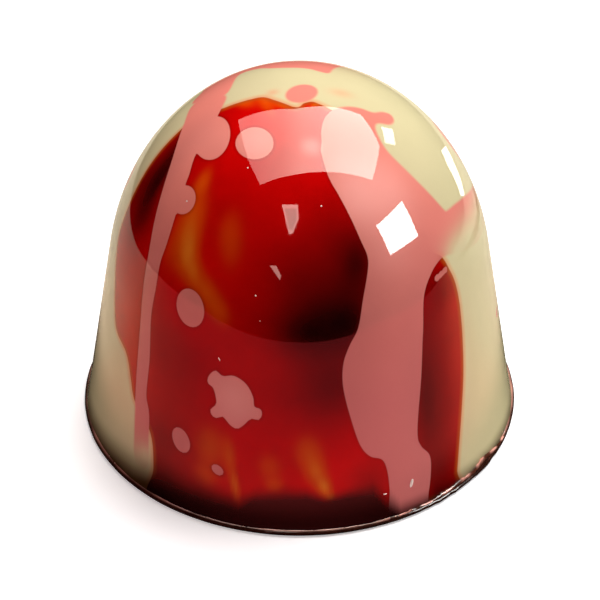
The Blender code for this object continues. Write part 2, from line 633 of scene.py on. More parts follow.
def blend(tree, place, factor, first, second, mode="MIX"):
    node = add(tree, "ShaderNodeMix", place, data_type="RGBA", blend_type=mode)
    wire(tree, factor, node.inputs["Factor"])
    first_colour, second_colour = node.inputs[6:8]
    wire(tree, first, first_colour)
    wire(tree, second, second_colour)
    return node.outputs[2]


def smooth_step(tree, place, value, low, high, to_low=0.0, to_high=1.0):
    node = add(tree, "ShaderNodeMapRange", place, interpolation_type="SMOOTHSTEP")
    for source, name in (
        (value, "Value"), (low, "From Min"), (high, "From Max"),
        (to_low, "To Min"), (to_high, "To Max"),
    ):
        wire(tree, source, node.inputs[name])
    return node.outputs[0]


def new_group(name, inputs, outputs):
    """An empty node group with its sockets: (name, type, default) in, (name, type) out."""
    group = bpy.data.node_groups.new(name, "ShaderNodeTree")
    for socket_name, kind, default in inputs:
        socket = group.interface.new_socket(socket_name, in_out="INPUT", socket_type=kind)
        socket.default_value = default
    for socket_name, kind in outputs:
        group.interface.new_socket(socket_name, in_out="OUTPUT", socket_type=kind)
    ends = add(group, "NodeGroupInput", (-900, 0)), add(group, "NodeGroupOutput", (700, 0))
    return group, *ends


def mottle_group():
    """Slow, cloudy changes of tone in a colour, and a fine grain on top."""
    if "Mottle" in bpy.data.node_groups:
        return bpy.data.node_groups["Mottle"]
    group, start, end = new_group(
        "Mottle",
        [
            ("Color", "NodeSocketColor", (0.5, 0.5, 0.5, 1.0)),
            ("Cloud Scale", "NodeSocketFloat", 300.0),
            ("Cloud Amount", "NodeSocketFloat", 0.1),
            ("Grain Scale", "NodeSocketFloat", 4000.0),
            ("Grain Amount", "NodeSocketFloat", 0.02),
        ],
        [("Color", "NodeSocketColor"), ("Cloud", "NodeSocketFloat")],
    )
    coords = add(group, "ShaderNodeTexCoord", (-900, -300))
    cloud = add(group, "ShaderNodeTexNoise", (-600, 100))
    cloud.inputs["Detail"].default_value = 3.0
    grain = add(group, "ShaderNodeTexNoise", (-600, -250))
    grain.inputs["Detail"].default_value = 2.0
    for texture, scale in ((cloud, "Cloud Scale"), (grain, "Grain Scale")):
        group.links.new(coords.outputs["Object"], texture.inputs["Vector"])
        group.links.new(start.outputs[scale], texture.inputs["Scale"])
    shift = math_node(group, "SUBTRACT", (-350, 100), cloud.outputs[0], 0.5)
    shift = math_node(group, "MULTIPLY", (-180, 100), shift, start.outputs["Cloud Amount"])
    fine = math_node(group, "SUBTRACT", (-350, -250), grain.outputs[0], 0.5)
    fine = math_node(group, "MULTIPLY", (-180, -250), fine, start.outputs["Grain Amount"])
    level = math_node(group, "ADD", (0, 0), shift, fine)
    level = math_node(group, "MULTIPLY_ADD", (150, 0), level, 2.0, 1.0)
    shade = add(group, "ShaderNodeCombineColor", (300, -100))
    for socket in shade.inputs:
        wire(group, level, socket)
    result = blend(group, (480, 0), 1.0, start.outputs["Color"], shade.outputs[0], "MULTIPLY")
    group.links.new(result, end.inputs["Color"])
    group.links.new(cloud.outputs[0], end.inputs["Cloud"])
    return group


def film_edge_group():
    """Splits a film of colour into its body and its thin edge, from the distance to its outline."""
    if "Film Edge" in bpy.data.node_groups:
        return bpy.data.node_groups["Film Edge"]
    group, start, end = new_group(
        "Film Edge",
        [
            ("Distance", "NodeSocketFloat", 0.0),
            ("Softness", "NodeSocketFloat", 0.04),
            ("Edge Width", "NodeSocketFloat", 0.3),
        ],
        [("Body", "NodeSocketFloat"), ("Inner Edge", "NodeSocketFloat"), ("Halo", "NodeSocketFloat")],
    )
    distance = start.outputs["Distance"]
    softness = start.outputs["Softness"]
    width = start.outputs["Edge Width"]
    low = math_node(group, "MULTIPLY", (-600, 200), softness, -1.0)
    body = smooth_step(group, (-300, 200), distance, low, softness, 1.0, 0.0)
    inner_low = math_node(group, "MULTIPLY", (-600, -50), width, -1.0)
    inner = smooth_step(group, (-300, -50), distance, inner_low, 0.0)
    inner = math_node(group, "MULTIPLY", (0, -50), inner, body)
    halo = smooth_step(group, (-300, -300), distance, 0.0, width, 1.0, 0.0)
    for source, name in ((body, "Body"), (inner, "Inner Edge"), (halo, "Halo")):
        group.links.new(source, end.inputs[name])
    return group


def specks_group():
    """Sparse fine specks of dust and cocoa, as a mask."""
    if "Specks" in bpy.data.node_groups:
        return bpy.data.node_groups["Specks"]
    group, start, end = new_group(
        "Specks",
        [
            ("Scale", "NodeSocketFloat", 450.0),
            ("Size", "NodeSocketFloat", 0.05),
            ("Share", "NodeSocketFloat", 0.05),
        ],
        [("Mask", "NodeSocketFloat")],
    )
    coords = add(group, "ShaderNodeTexCoord", (-900, -300))
    cells = add(group, "ShaderNodeTexVoronoi", (-600, 0))
    group.links.new(coords.outputs["Object"], cells.inputs["Vector"])
    group.links.new(start.outputs["Scale"], cells.inputs["Scale"])
    spot = math_node(group, "LESS_THAN", (-300, 100), cells.outputs["Distance"], start.outputs["Size"])
    parts = add(group, "ShaderNodeSeparateColor", (-400, -200))
    group.links.new(cells.outputs["Color"], parts.inputs[0])
    chosen = math_node(group, "LESS_THAN", (-200, -200), parts.outputs[0], start.outputs["Share"])
    mask = math_node(group, "MULTIPLY", (0, 0), spot, chosen)
    group.links.new(mask, end.inputs["Mask"])
    return group


def place_group(tree, group, place, **values):
    node = add(tree, "ShaderNodeGroup", place, node_tree=group)
    for name, value in values.items():
        wire(tree, value, node.inputs[name.replace("_", " ")])
    return node


def new_material(name):
    material = bpy.data.materials.new(name)
    material.use_nodes = True
    tree = material.node_tree
    shader = tree.nodes["Principled BSDF"]
    shader.location = (1500, 0)
    tree.nodes["Material Output"].location = (1850, 0)
    return material, tree, shader


def four(colour):
    return (*colour, 1.0)


def scaled(colour, factor):
    return tuple(min(1.0, channel * factor) for channel in colour) + (1.0,)


def attribute(tree, name, place):
    return add(tree, "ShaderNodeAttribute", place, attribute_name=name).outputs["Fac"]


# ---------------------------------------------------------------------------------------------------
# Materials
# ---------------------------------------------------------------------------------------------------


# Colours that the coat takes on where its films are thin, thick or laid over each other
THIN_RED = (0.70, 0.055, 0.001, 1.0)
RED_RIM = (0.42, 0.075, 0.008, 1.0)
RED_BESIDE_PINK = (0.10, 0.001, 0.001, 1.0)
SALMON_LINE = (0.74, 0.33, 0.15, 1.0)
LOW_PINK = (0.68, 0.185, 0.170, 1.0)
PINK_OVER_DARK = (0.34, 0.105, 0.100, 1.0)
THICK_PINK = (1.0, 0.42, 0.36, 1.0)
PINK_FILM = (0.78, 0.24, 0.13, 1.0)
# Painted shade at the foot, over the ivory and over the red, partly the chocolate showing through.
FOOT_SHADE_ON_IVORY = (0.050, 0.022, 0.005, 1.0)
FOOT_SHADE_ON_RED = (0.010, 0.0003, 0.0006, 1.0)
DUST = (0.75, 0.55, 0.50, 1.0)
SCUFF = (0.42, 0.22, 0.14, 1.0)
# A painted highlight, laid as a pale line along the crests of the foot's bead and lip.
PAINTED_HIGHLIGHT = (0.85, 0.40, 0.31, 1.0)


def coat_material(colours):
    """Mirror-gloss cocoa butter: ivory, then the red patch, then the pink, all flush in one surface."""
    material, tree, shader = new_material("cocoa_butter_coat")
    red_edge = attribute(tree, "red_edge", (-1500, 300))
    pink_edge = attribute(tree, "pink_edge", (-1500, 0))
    amber = attribute(tree, "amber", (-1500, -150))
    cloud = attribute(tree, "dark_cloud", (-1500, -300))
    glaze = attribute(tree, "pink_glaze", (-1500, -450))
    # The foot attribute is a painted shade towards the foot, partly the chocolate showing through.
    foot = attribute(tree, "foot_shade", (-1500, -600))

    ivory = place_group(
        tree, mottle_group(), (-1200, 700), Color=four(colours.ivory),
        Cloud_Scale=160.0, Cloud_Amount=0.10, Grain_Scale=5200.0, Grain_Amount=0.010,
    )
    red = place_group(
        tree, mottle_group(), (-1200, 450), Color=four(colours.red),
        Cloud_Scale=210.0, Cloud_Amount=0.35, Grain_Scale=5200.0, Grain_Amount=0.03,
    )
    pink = place_group(
        tree, mottle_group(), (-1200, 200), Color=four(colours.pink),
        Cloud_Scale=190.0, Cloud_Amount=0.14, Grain_Scale=6000.0, Grain_Amount=0.014,
    )
    red_film = place_group(
        tree, film_edge_group(), (-1200, -50), Distance=red_edge, Softness=0.05, Edge_Width=0.44,
    )
    softness = smooth_step(tree, (-1400, -950), red_edge, -0.05, 0.25, 0.035, 0.13)
    pink_film = place_group(
        tree, film_edge_group(), (-1200, -250), Distance=pink_edge, Softness=softness, Edge_Width=0.26,
    )

    # The red film is thin at its outline and in the streaks, where the pale layer under it shows.
    first_amber = smooth_step(tree, (-700, 450), amber, 0.0, 0.45)
    full_amber = smooth_step(tree, (-700, 250), amber, 0.35, 1.0)
    patch = blend(tree, (-400, 450), first_amber, red.outputs["Color"], THIN_RED)
    patch = blend(tree, (-200, 450), full_amber, patch, four(colours.amber))
    patch = blend(tree, (0, 450), cloud, patch, four(colours.dark))
    thin = math_node(tree, "MULTIPLY", (-200, 200), red_film.outputs["Inner Edge"], 0.80)
    patch = blend(tree, (150, 400), thin, patch, RED_RIM)
    shade = math_node(tree, "MULTIPLY", (-200, 50), pink_film.outputs["Halo"], 0.30)
    patch = blend(tree, (300, 400), shade, patch, RED_BESIDE_PINK)

    # A salmon line where the red ends on the ivory.
    fringe = math_node(tree, "MULTIPLY", (0, 100), red_film.outputs["Halo"], 0.75)
    ground = blend(tree, (300, 650), fringe, ivory.outputs["Color"], SALMON_LINE)
    ground = blend(tree, (450, 500), red_film.outputs["Body"], ground, patch)

    # The pink lies on top: salmon above and cooler below, paler where thick, darker over dark chocolate.
    lower = attribute(tree, "lower", (100, 50))
    splash = blend(tree, (300, 150), lower, pink.outputs["Color"], LOW_PINK)
    buried = math_node(tree, "MULTIPLY", (300, -50), cloud, 0.30)
    splash = blend(tree, (450, 150), buried, splash, PINK_OVER_DARK)
    pale = attribute(tree, "pink_pale", (300, -350))
    splash = blend(tree, (600, 150), pale, splash, THICK_PINK)
    glazed = blend(tree, (600, 350), glaze, ground, PINK_FILM)
    solid = math_node(tree, "SUBTRACT", (500, -150), 1.0, attribute(tree, "pink_thin", (300, -200)))
    solid = math_node(tree, "MULTIPLY", (650, -150), solid, pink_film.outputs["Body"])
    painted = blend(tree, (750, 350), solid, glazed, splash)

    # Painted shade darkens the coat towards the lip, partly the chocolate of the foot showing through.
    shadow = blend(
        tree, (800, 600), red_film.outputs["Body"], FOOT_SHADE_ON_IVORY, FOOT_SHADE_ON_RED,
    )
    foot_shaded = blend(tree, (900, 300), foot, painted, shadow)
    dust = place_group(tree, specks_group(), (600, -300), Scale=330.0, Size=0.035, Share=0.05)
    dust_mask = math_node(tree, "MULTIPLY", (800, -300), dust.outputs["Mask"], 0.55)
    coat = blend(tree, (1100, 300), dust_mask, foot_shaded, DUST)
    tree.links.new(coat, shader.inputs["Base Color"])

    # Mirror gloss off the polished mould, a little duller at the worn foot and on specks.
    sheen_smear = add(tree, "ShaderNodeTexNoise", (600, -520))
    sheen_smear.inputs["Scale"].default_value = 420.0
    sheen_smear.inputs["Detail"].default_value = 4.0
    coords = add(tree, "ShaderNodeTexCoord", (400, -520))
    tree.links.new(coords.outputs["Object"], sheen_smear.inputs["Vector"])
    rough = smooth_step(tree, (800, -520), sheen_smear.outputs[0], 0.45, 0.85, 0.022, 0.050)
    worn = math_node(tree, "MULTIPLY_ADD", (1000, -520), foot, 0.05, rough)
    rough = math_node(tree, "MULTIPLY_ADD", (1200, -400), dust_mask, 0.4, worn)
    tree.links.new(rough, shader.inputs["Roughness"])

    # Faint waviness of the film, finer than the shape of the shell.
    ripple = add(tree, "ShaderNodeTexNoise", (800, -800))
    ripple.inputs["Scale"].default_value = 260.0
    ripple.inputs["Detail"].default_value = 1.0
    tree.links.new(coords.outputs["Object"], ripple.inputs["Vector"])
    bump = add(tree, "ShaderNodeBump", (1200, -700))
    bump.inputs["Distance"].default_value = 0.012 * MM
    bump.inputs["Strength"].default_value = 1.0
    tree.links.new(ripple.outputs[0], bump.inputs["Height"])
    tree.links.new(bump.outputs[0], shader.inputs["Normal"])
    shader.inputs["IOR"].default_value = 1.46
    return material


def foot_material(name, colour, roughness, scuffs, sheen_smear=None):
    """Dark chocolate with a broken, lightly scuffed surface, and a painted highlight along an attribute
    where one is given.
    """
    material, tree, shader = new_material(name)
    body = place_group(
        tree, mottle_group(), (-600, 200), Color=four(colour),
        Cloud_Scale=1100.0, Cloud_Amount=0.5, Grain_Scale=9000.0, Grain_Amount=0.12,
    )
    specks = place_group(tree, specks_group(), (-600, -100), Scale=2600.0, Size=0.20, Share=scuffs)
    coloured = blend(
        tree, (-100, 200), specks.outputs["Mask"], body.outputs["Color"], SCUFF,
    )
    # The named attribute lays a painted highlight over the chocolate.
    if sheen_smear:
        coloured = blend(
            tree, (100, 300), attribute(tree, sheen_smear, (-100, 400)), coloured, PAINTED_HIGHLIGHT,
        )
    tree.links.new(coloured, shader.inputs["Base Color"])
    coords = add(tree, "ShaderNodeTexCoord", (-900, -400))
    grain = add(tree, "ShaderNodeTexNoise", (-600, -400))
    grain.inputs["Scale"].default_value = 2600.0
    grain.inputs["Detail"].default_value = 5.0
    tree.links.new(coords.outputs["Object"], grain.inputs["Vector"])
    rough = smooth_step(tree, (-100, -200), grain.outputs[0], 0.3, 0.7, roughness * 0.6, roughness * 1.5)
    tree.links.new(rough, shader.inputs["Roughness"])
    bump = add(tree, "ShaderNodeBump", (300, -400))
    bump.inputs["Distance"].default_value = 0.02 * MM
    tree.links.new(grain.outputs[0], bump.inputs["Height"])
    tree.links.new(bump.outputs[0], shader.inputs["Normal"])
    shader.inputs["IOR"].default_value = 1.46
    return material


# ---------------------------------------------------------------------------------------------------
# Operators
# ---------------------------------------------------------------------------------------------------


class PRALINE_OT_coated_shell(bpy.types.Operator):
    """Models the moulded shell and lays the cocoa butter colours on it"""

    bl_idname = "praline.coated_shell"
    bl_label = "Coated shell"
    bl_options = {"REGISTER", "UNDO"}

    DOME_STEPS = 120
    WALL_STEP = 0.2 * MM
    SEAT = 0.42 * MM        # underside of the shell, just inside the closing plate's bead

    def model(self, shape, outline):
        deselect_all()
        bpy.ops.mesh.primitive_circle_add(
            vertices=4 * self.DOME_STEPS, radius=1.0, fill_type="NOTHING", rotation=(math.pi / 2, 0, 0),
        )
        shell = bpy.context.object
        shell.name = "coated_shell"
        apply_place(shell)
        edit(shell)
        lowest = math.sin(outline.spring) + 1e-4
        select_vertices(shell, lambda co: co.x < -1e-5 or co.z < lowest)
        bpy.ops.mesh.delete(type="VERT")
        bpy.ops.mesh.select_all(action="SELECT")
        bpy.ops.transform.resize(
            value=(shape.dome_radius, 1.0, shape.dome_rise), center_override=(0, 0, 0),
        )
        bpy.ops.transform.translate(value=(0, 0, outline.centre_height))

        bm = bmesh.from_edit_mesh(shell.data)
        end = min(bm.verts, key=lambda vertex: vertex.co.z).co.copy()
        select_vertices(shell, lambda co: (co - end).length < 1e-7)
        count = int((outline.spring_height - self.SEAT) / self.WALL_STEP)
        wall = [(end.x, end.z)]
        for height in np.linspace(outline.spring_height, self.SEAT, count):
            wall.append((float(outline.wall_radius(height)), float(height)))
        wall.append((0.0, self.SEAT))
        extrude_along(wall)
        spin_closed(shell, shape.segments)
        activate(shell)
        bpy.ops.object.shade_smooth_by_angle(angle=math.radians(40))
        return shell

    def colour(self, shell, outline):
        """Stores, on the mesh, where each colour lies, and the painted shade towards the foot."""
        places = vertex_places(shell)
        points = places / MM
        azimuth, down = outline.place(places)
        flat = unroll(azimuth, down)
        store(shell, "red_edge", outline_distance(points, flat, RED_PATCH, outline))
        pink = np.full(len(points), 50.0)
        for corners in PINK_OUTLINES:
            pink = melt(pink, outline_distance(points, flat, corners, outline))
        for drop in PINK_DROPS:
            pink = melt(pink, drop_distance(points, drop, outline))
        store(shell, "pink_edge", pink)
        layers = (
            ("amber", AMBER_STREAKS), ("dark_cloud", DARK_CLOUDS),
            ("pink_glaze", PINK_GLAZE), ("pink_thin", PINK_THIN), ("pink_pale", PINK_PALE),
        )
        for name, spots in layers:
            store(shell, name, gather([spot[-1] * soft_spot(points, spot, outline) for spot in spots]))
        store(shell, "lower", np.clip((down - 9.0) / 14.0, 0.0, 1.0))
        # Painted shade towards the foot, partly the chocolate showing through the coat.
        turn, middle, fade = np.array(FOOT_SHADE).T
        middle, fade = np.interp(azimuth, turn, middle), np.interp(azimuth, turn, fade)
        share = np.clip(0.5 + (points[:, 2] - middle) / (2 * fade), 0.0, 1.0)
        store(shell, "foot_shade", 1.0 - share * share * (3.0 - 2.0 * share))

    def execute(self, context):
        shape, colours = context.scene.praline_shape, context.scene.praline_colours
        outline = Outline(shape)
        shell = self.model(shape, outline)
        self.colour(shell, outline)
        finish_piece(shell, coat_material(colours), "shell")
        return {"FINISHED"}


class PRALINE_OT_closing_plate(bpy.types.Operator):
    """Models the closing layer of dark chocolate with its rounded, slightly ragged bead"""

    bl_idname = "praline.closing_plate"
    bl_label = "Closing plate"
    bl_options = {"REGISTER", "UNDO"}

    BEAD_HEIGHT = 0.50 * MM
    BEAD_INSIDE = 0.36 * MM   # how far the bead reaches in from the rim
    SEAT = 0.40 * MM
    SEGMENTS = 360

    def execute(self, context):
        shape, colours = context.scene.praline_shape, context.scene.praline_colours
        deselect_all()
        bpy.ops.mesh.primitive_circle_add(
            vertices=24, radius=1.0, fill_type="NOTHING", rotation=(math.pi / 2, 0, 0),
        )
        plate = bpy.context.object
        plate.name = "closing_plate"
        apply_place(plate)
        edit(plate)
        # The bead is the outer half of an oval; its ends run in to the axis above and below.
        select_vertices(plate, lambda co: co.x < -1e-5)
        bpy.ops.mesh.delete(type="VERT")
        bpy.ops.mesh.select_all(action="SELECT")
        bpy.ops.transform.resize(
            value=(self.BEAD_INSIDE, 1.0, self.BEAD_HEIGHT / 2), center_override=(0, 0, 0),
        )
        bead_x, bead_z = shape.rim_radius - self.BEAD_INSIDE, self.BEAD_HEIGHT / 2
        bpy.ops.transform.translate(value=(bead_x, 0, bead_z))
        select_vertices(plate, lambda co: co.z > self.BEAD_HEIGHT - 1e-7)
        extrude_along([(bead_x, self.BEAD_HEIGHT), (bead_x - 0.1 * MM, self.SEAT), (0.0, self.SEAT)])
        select_vertices(plate, lambda co: co.z < 1e-7)
        extrude_along([(bead_x, 0.0), (0.0, 0.0)])
        spin_closed(plate, self.SEGMENTS)

        # The bead is never quite even: it swells and thins, and is ragged on the right of the front.
        places = vertex_places(plate)
        radius = np.hypot(places[:, 0], places[:, 1])
        angle = np.arctan2(places[:, 0], -places[:, 1])
        on_bead = np.clip((radius - (bead_x - 0.02 * MM)) / (0.1 * MM), 0, 1) * (places[:, 2] > 1e-6)
        wave = sum(
            size * np.sin(turns * angle + start)
            for turns, start, size in ((5, 0.3, 0.3), (11, 1.9, 0.3), (23, 4.0, 0.25), (47, 2.2, 0.15))
        )
        ragged = np.exp(-(((np.degrees(angle) - 48) / 24) ** 2))
        rng = np.random.default_rng(7)
        jags = np.interp(angle, np.linspace(-math.pi, math.pi, 241), rng.uniform(-1, 1, 241))
        inward = on_bead * (0.02 * (1 - wave) + 0.035 * ragged * (1 + jags)) * MM
        lift = on_bead * (0.025 * wave + 0.05 * ragged * jags) * MM * places[:, 2] / self.BEAD_HEIGHT
        places[:, :2] *= (1 - inward / np.maximum(radius, MM))[:, None]
        places[:, 2] += lift
        move_vertices(plate, places)
        activate(plate)
        bpy.ops.object.shade_smooth_by_angle(angle=math.radians(50))
        # A pale painted highlight along the top of the bead, brightest on the right of the front.
        bright = 0.45 + 0.35 * wave + 0.5 * np.exp(-(((np.degrees(angle) - 50) / 34) ** 2))
        store(plate, "sheen_smear", np.clip((places[:, 2] / MM - 0.41) / 0.07, 0, 1) * np.clip(bright, 0, 1))
        material = foot_material("closing_chocolate", colours.foot, 0.12, 0.04, "sheen_smear")
        finish_piece(plate, material, "base_plate")
        return {"FINISHED"}


class PRALINE_OT_foot_scraps(bpy.types.Operator):
    """Scatters the scraps and crumbs of chocolate that cling along the foot"""

    bl_idname = "praline.foot_scraps"
    bl_label = "Foot scraps"
    bl_options = {"REGISTER", "UNDO"}

    # (first and last azimuth, number, smallest and largest half-length in mm, highest place in mm)
    DARK_RUNS = [(30, 76, 22, 0.05, 0.16, 0.60), (-30, 26, 20, 0.04, 0.10, 0.50),
                 (80, 330, 40, 0.04, 0.14, 0.45)]
    PALE_RUNS = [(32, 72, 10, 0.04, 0.14, 0.75), (-26, 26, 18, 0.03, 0.09, 0.55),
                 (90, 330, 14, 0.03, 0.10, 0.50)]

    def scatter(self, name, runs, seed, outline):
        """One shard is modelled, then copied along the foot, each copy with its own size and turn."""
        deselect_all()
        bpy.ops.mesh.primitive_ico_sphere_add(subdivisions=2, radius=1.0)
        shard = bpy.context.object
        edit(shard)
        bpy.ops.mesh.select_all(action="SELECT")
        bpy.ops.transform.vertex_random(offset=0.22, uniform=0.3, seed=seed)
        bpy.ops.object.mode_set(mode="OBJECT")
        rng = np.random.default_rng(seed)
        copies = []
        for first, last, count, smallest, largest, top in runs:
            for _ in range(count):
                azimuth = rng.uniform(first, last)
                size = smallest + (largest - smallest) * rng.random() ** 2
                height = PLATE_TOP / MM * 0.8 + rng.random() ** 1.6 * (top - 0.4)
                radius = float(outline.wall_radius(height * MM)) / MM + 0.02
                angle = math.radians(azimuth)
                point = Vector((radius * math.sin(angle), -radius * math.cos(angle), height)) * MM
                turn = Matrix.Rotation(angle, 4, "Z") @ Matrix.Rotation(math.radians(-30), 4, "X")
                turn = turn @ Matrix.Rotation(rng.normal(0, 0.35), 4, "Y")
                stretch = Matrix.Diagonal((size, size * 0.22, size * rng.uniform(0.25, 0.5), 1 / MM))
                copy = shard.copy()
                copy.data = shard.data.copy()
                copy.data.transform(Matrix.Translation(point) @ turn @ (stretch * MM))
                bpy.context.scene.collection.objects.link(copy)
                copies.append(copy)
        bpy.data.objects.remove(shard, do_unlink=True)
        piece = join(copies, name)
        bpy.ops.object.shade_smooth_by_angle(angle=math.radians(35))
        return piece

    def execute(self, context):
        outline = Outline(context.scene.praline_shape)
        colours = context.scene.praline_colours
        dark = self.scatter("dark_scraps", self.DARK_RUNS, 11, outline)
        finish_piece(
            dark, foot_material("scrap_chocolate", scaled(colours.foot, 1.6)[:3], 0.18, 0.05),
        )
        pale = self.scatter("pale_scraps", self.PALE_RUNS, 23, outline)
        finish_piece(pale, foot_material("scrap_coat", (0.60, 0.40, 0.28), 0.12, 0.0))
        return {"FINISHED"}


class PRALINE_OT_flash_lip(bpy.types.Operator):
    """Models the lip of chocolate that was scraped up the foot, on the right of the front"""

    bl_idname = "praline.flash_lip"
    bl_label = "Flash lip"
    bl_options = {"REGISTER", "UNDO"}

    # (azimuth, height in mm) of the lip's crest
    CREST = [(24, 0.46), (30, 0.55), (36, 0.55), (39.8, 0.66), (42.2, 0.64), (45.2, 0.74), (47.2, 0.78),
             (50.8, 0.72), (54, 0.78), (57, 0.96), (60, 0.84), (64.8, 0.58), (70, 0.44)]
    LOW_MM = 0.42
    OUT_MM = 0.09          # how far the crest stands out
    STEPS = 90
    THICKNESS = 0.10 * MM

    def execute(self, context):
        outline = Outline(context.scene.praline_shape)
        deselect_all()
        bpy.ops.mesh.primitive_grid_add(x_subdivisions=self.STEPS, y_subdivisions=4, size=2.0)
        lip = bpy.context.object
        lip.name = "flash_lip"
        places = vertex_places(lip)
        turns, crests = np.array(self.CREST).T
        azimuth = np.interp(places[:, 0], (-1, 1), (turns[0], turns[-1]))
        rise = (places[:, 1] + 1) / 2
        rng = np.random.default_rng(5)
        jags = np.interp(azimuth, np.linspace(turns[0], turns[-1], 70), rng.uniform(-0.05, 0.05, 70))
        height = self.LOW_MM + rise * (np.interp(azimuth, turns, crests) + jags - self.LOW_MM)
        radius = outline.wall_radius(height * MM) / MM + self.OUT_MM * np.sin(math.pi * rise * 0.85)
        angle = np.radians(azimuth)
        move_vertices(lip, np.stack([radius * np.sin(angle), -radius * np.cos(angle), height], -1) * MM)
        activate(lip)
        wall = lip.modifiers.new("wall", "SOLIDIFY")
        wall.thickness = self.THICKNESS
        wall.offset = 0.0
        bpy.ops.object.modifier_apply(modifier=wall.name)
        turn_faces_out(lip)
        bpy.ops.object.shade_smooth_by_angle(angle=math.radians(50))
        colour = scaled(context.scene.praline_colours.foot, 2.2)[:3]
        places = vertex_places(lip)
        crest = np.interp(np.degrees(np.arctan2(places[:, 0], -places[:, 1])), turns, crests)
        share = (places[:, 2] / MM - self.LOW_MM) / (crest - self.LOW_MM)
        # A broken pale painted highlight along the crest of the lip.
        broken = np.clip(0.55 + 1.3 * np.sin(52.0 * np.arctan2(places[:, 0], -places[:, 1]) + 1.0), 0, 1)
        store(lip, "sheen_smear", broken * np.clip((share - 0.72) / 0.2, 0.0, 1.0))
        material = foot_material("lip_chocolate", colour, 0.14, 0.10, "sheen_smear")
        finish_piece(lip, material)
        return {"FINISHED"}


class PRALINE_OT_glint_flecks(bpy.types.Operator):
    """Models a few raised flecks of pale cocoa butter on the coat, set where small glints show and made
    near-white as painted highlights
    """

    bl_idname = "praline.coat_flecks"
    bl_label = "Coat flecks"
    bl_options = {"REGISTER", "UNDO"}

    # (azimuth, down, half-length, half-width, turn), lengths in mm
    FLECKS = [(31.2, 29.3, 0.32, 0.12, 108), (23.2, 29.45, 0.13, 0.05, 0), (-50.8, 10.5, 0.07, 0.06, 0),
              (-23.8, 19.4, 0.14, 0.04, 60), (9.8, 8.9, 0.06, 0.05, 0), (-14, 14.6, 0.06, 0.05, 30),
              (-29.8, 6.9, 0.07, 0.05, 20), (-12, 16.2, 0.04, 0.04, 0), (150, 12, 0.10, 0.07, 40)]

    def execute(self, context):
        outline = Outline(context.scene.praline_shape)
        deselect_all()
        bpy.ops.mesh.primitive_uv_sphere_add(segments=20, ring_count=10, radius=1.0)
        fleck = bpy.context.object
        fleck.name = "fleck"
        edit(fleck)
        select_vertices(fleck, lambda co: co.z < -0.01)
        bpy.ops.transform.resize(value=(1.0, 1.0, 0.3), center_override=(0, 0, 0))
        bpy.ops.object.mode_set(mode="OBJECT")
        copies = []
        for azimuth, down, length, width, turn in self.FLECKS:
            level, fall = (Vector(way) for way in outline.slope(azimuth, down))
            out = fall.cross(level)
            out = out if out.z > 0 else -out
            c, s = math.cos(math.radians(turn)), math.sin(math.radians(turn))
            long_way, short_way = level * c + fall * s, fall * c - level * s
            basis = Matrix((long_way * length, short_way * width, out * width * 0.5)).transposed()
            point = Vector(outline.point(azimuth, down)) - out * width * 0.1
            copy = fleck.copy()
            copy.data = fleck.data.copy()
            copy.data.transform(Matrix.Scale(MM, 4) @ Matrix.Translation(point) @ basis.to_4x4())
            bpy.context.scene.collection.objects.link(copy)
            copies.append(copy)
        bpy.data.objects.remove(fleck, do_unlink=True)
        flecks = join(copies, "coat_flecks")
        turn_faces_out(flecks)
        bpy.ops.object.shade_smooth_by_angle(angle=math.radians(60))
        # Near-white, so that the flecks stand in for small glints as painted highlights.
        finish_piece(flecks, foot_material("painted_glint_fleck", (1.0, 0.82, 0.74), 0.10, 0.0))
        return {"FINISHED"}


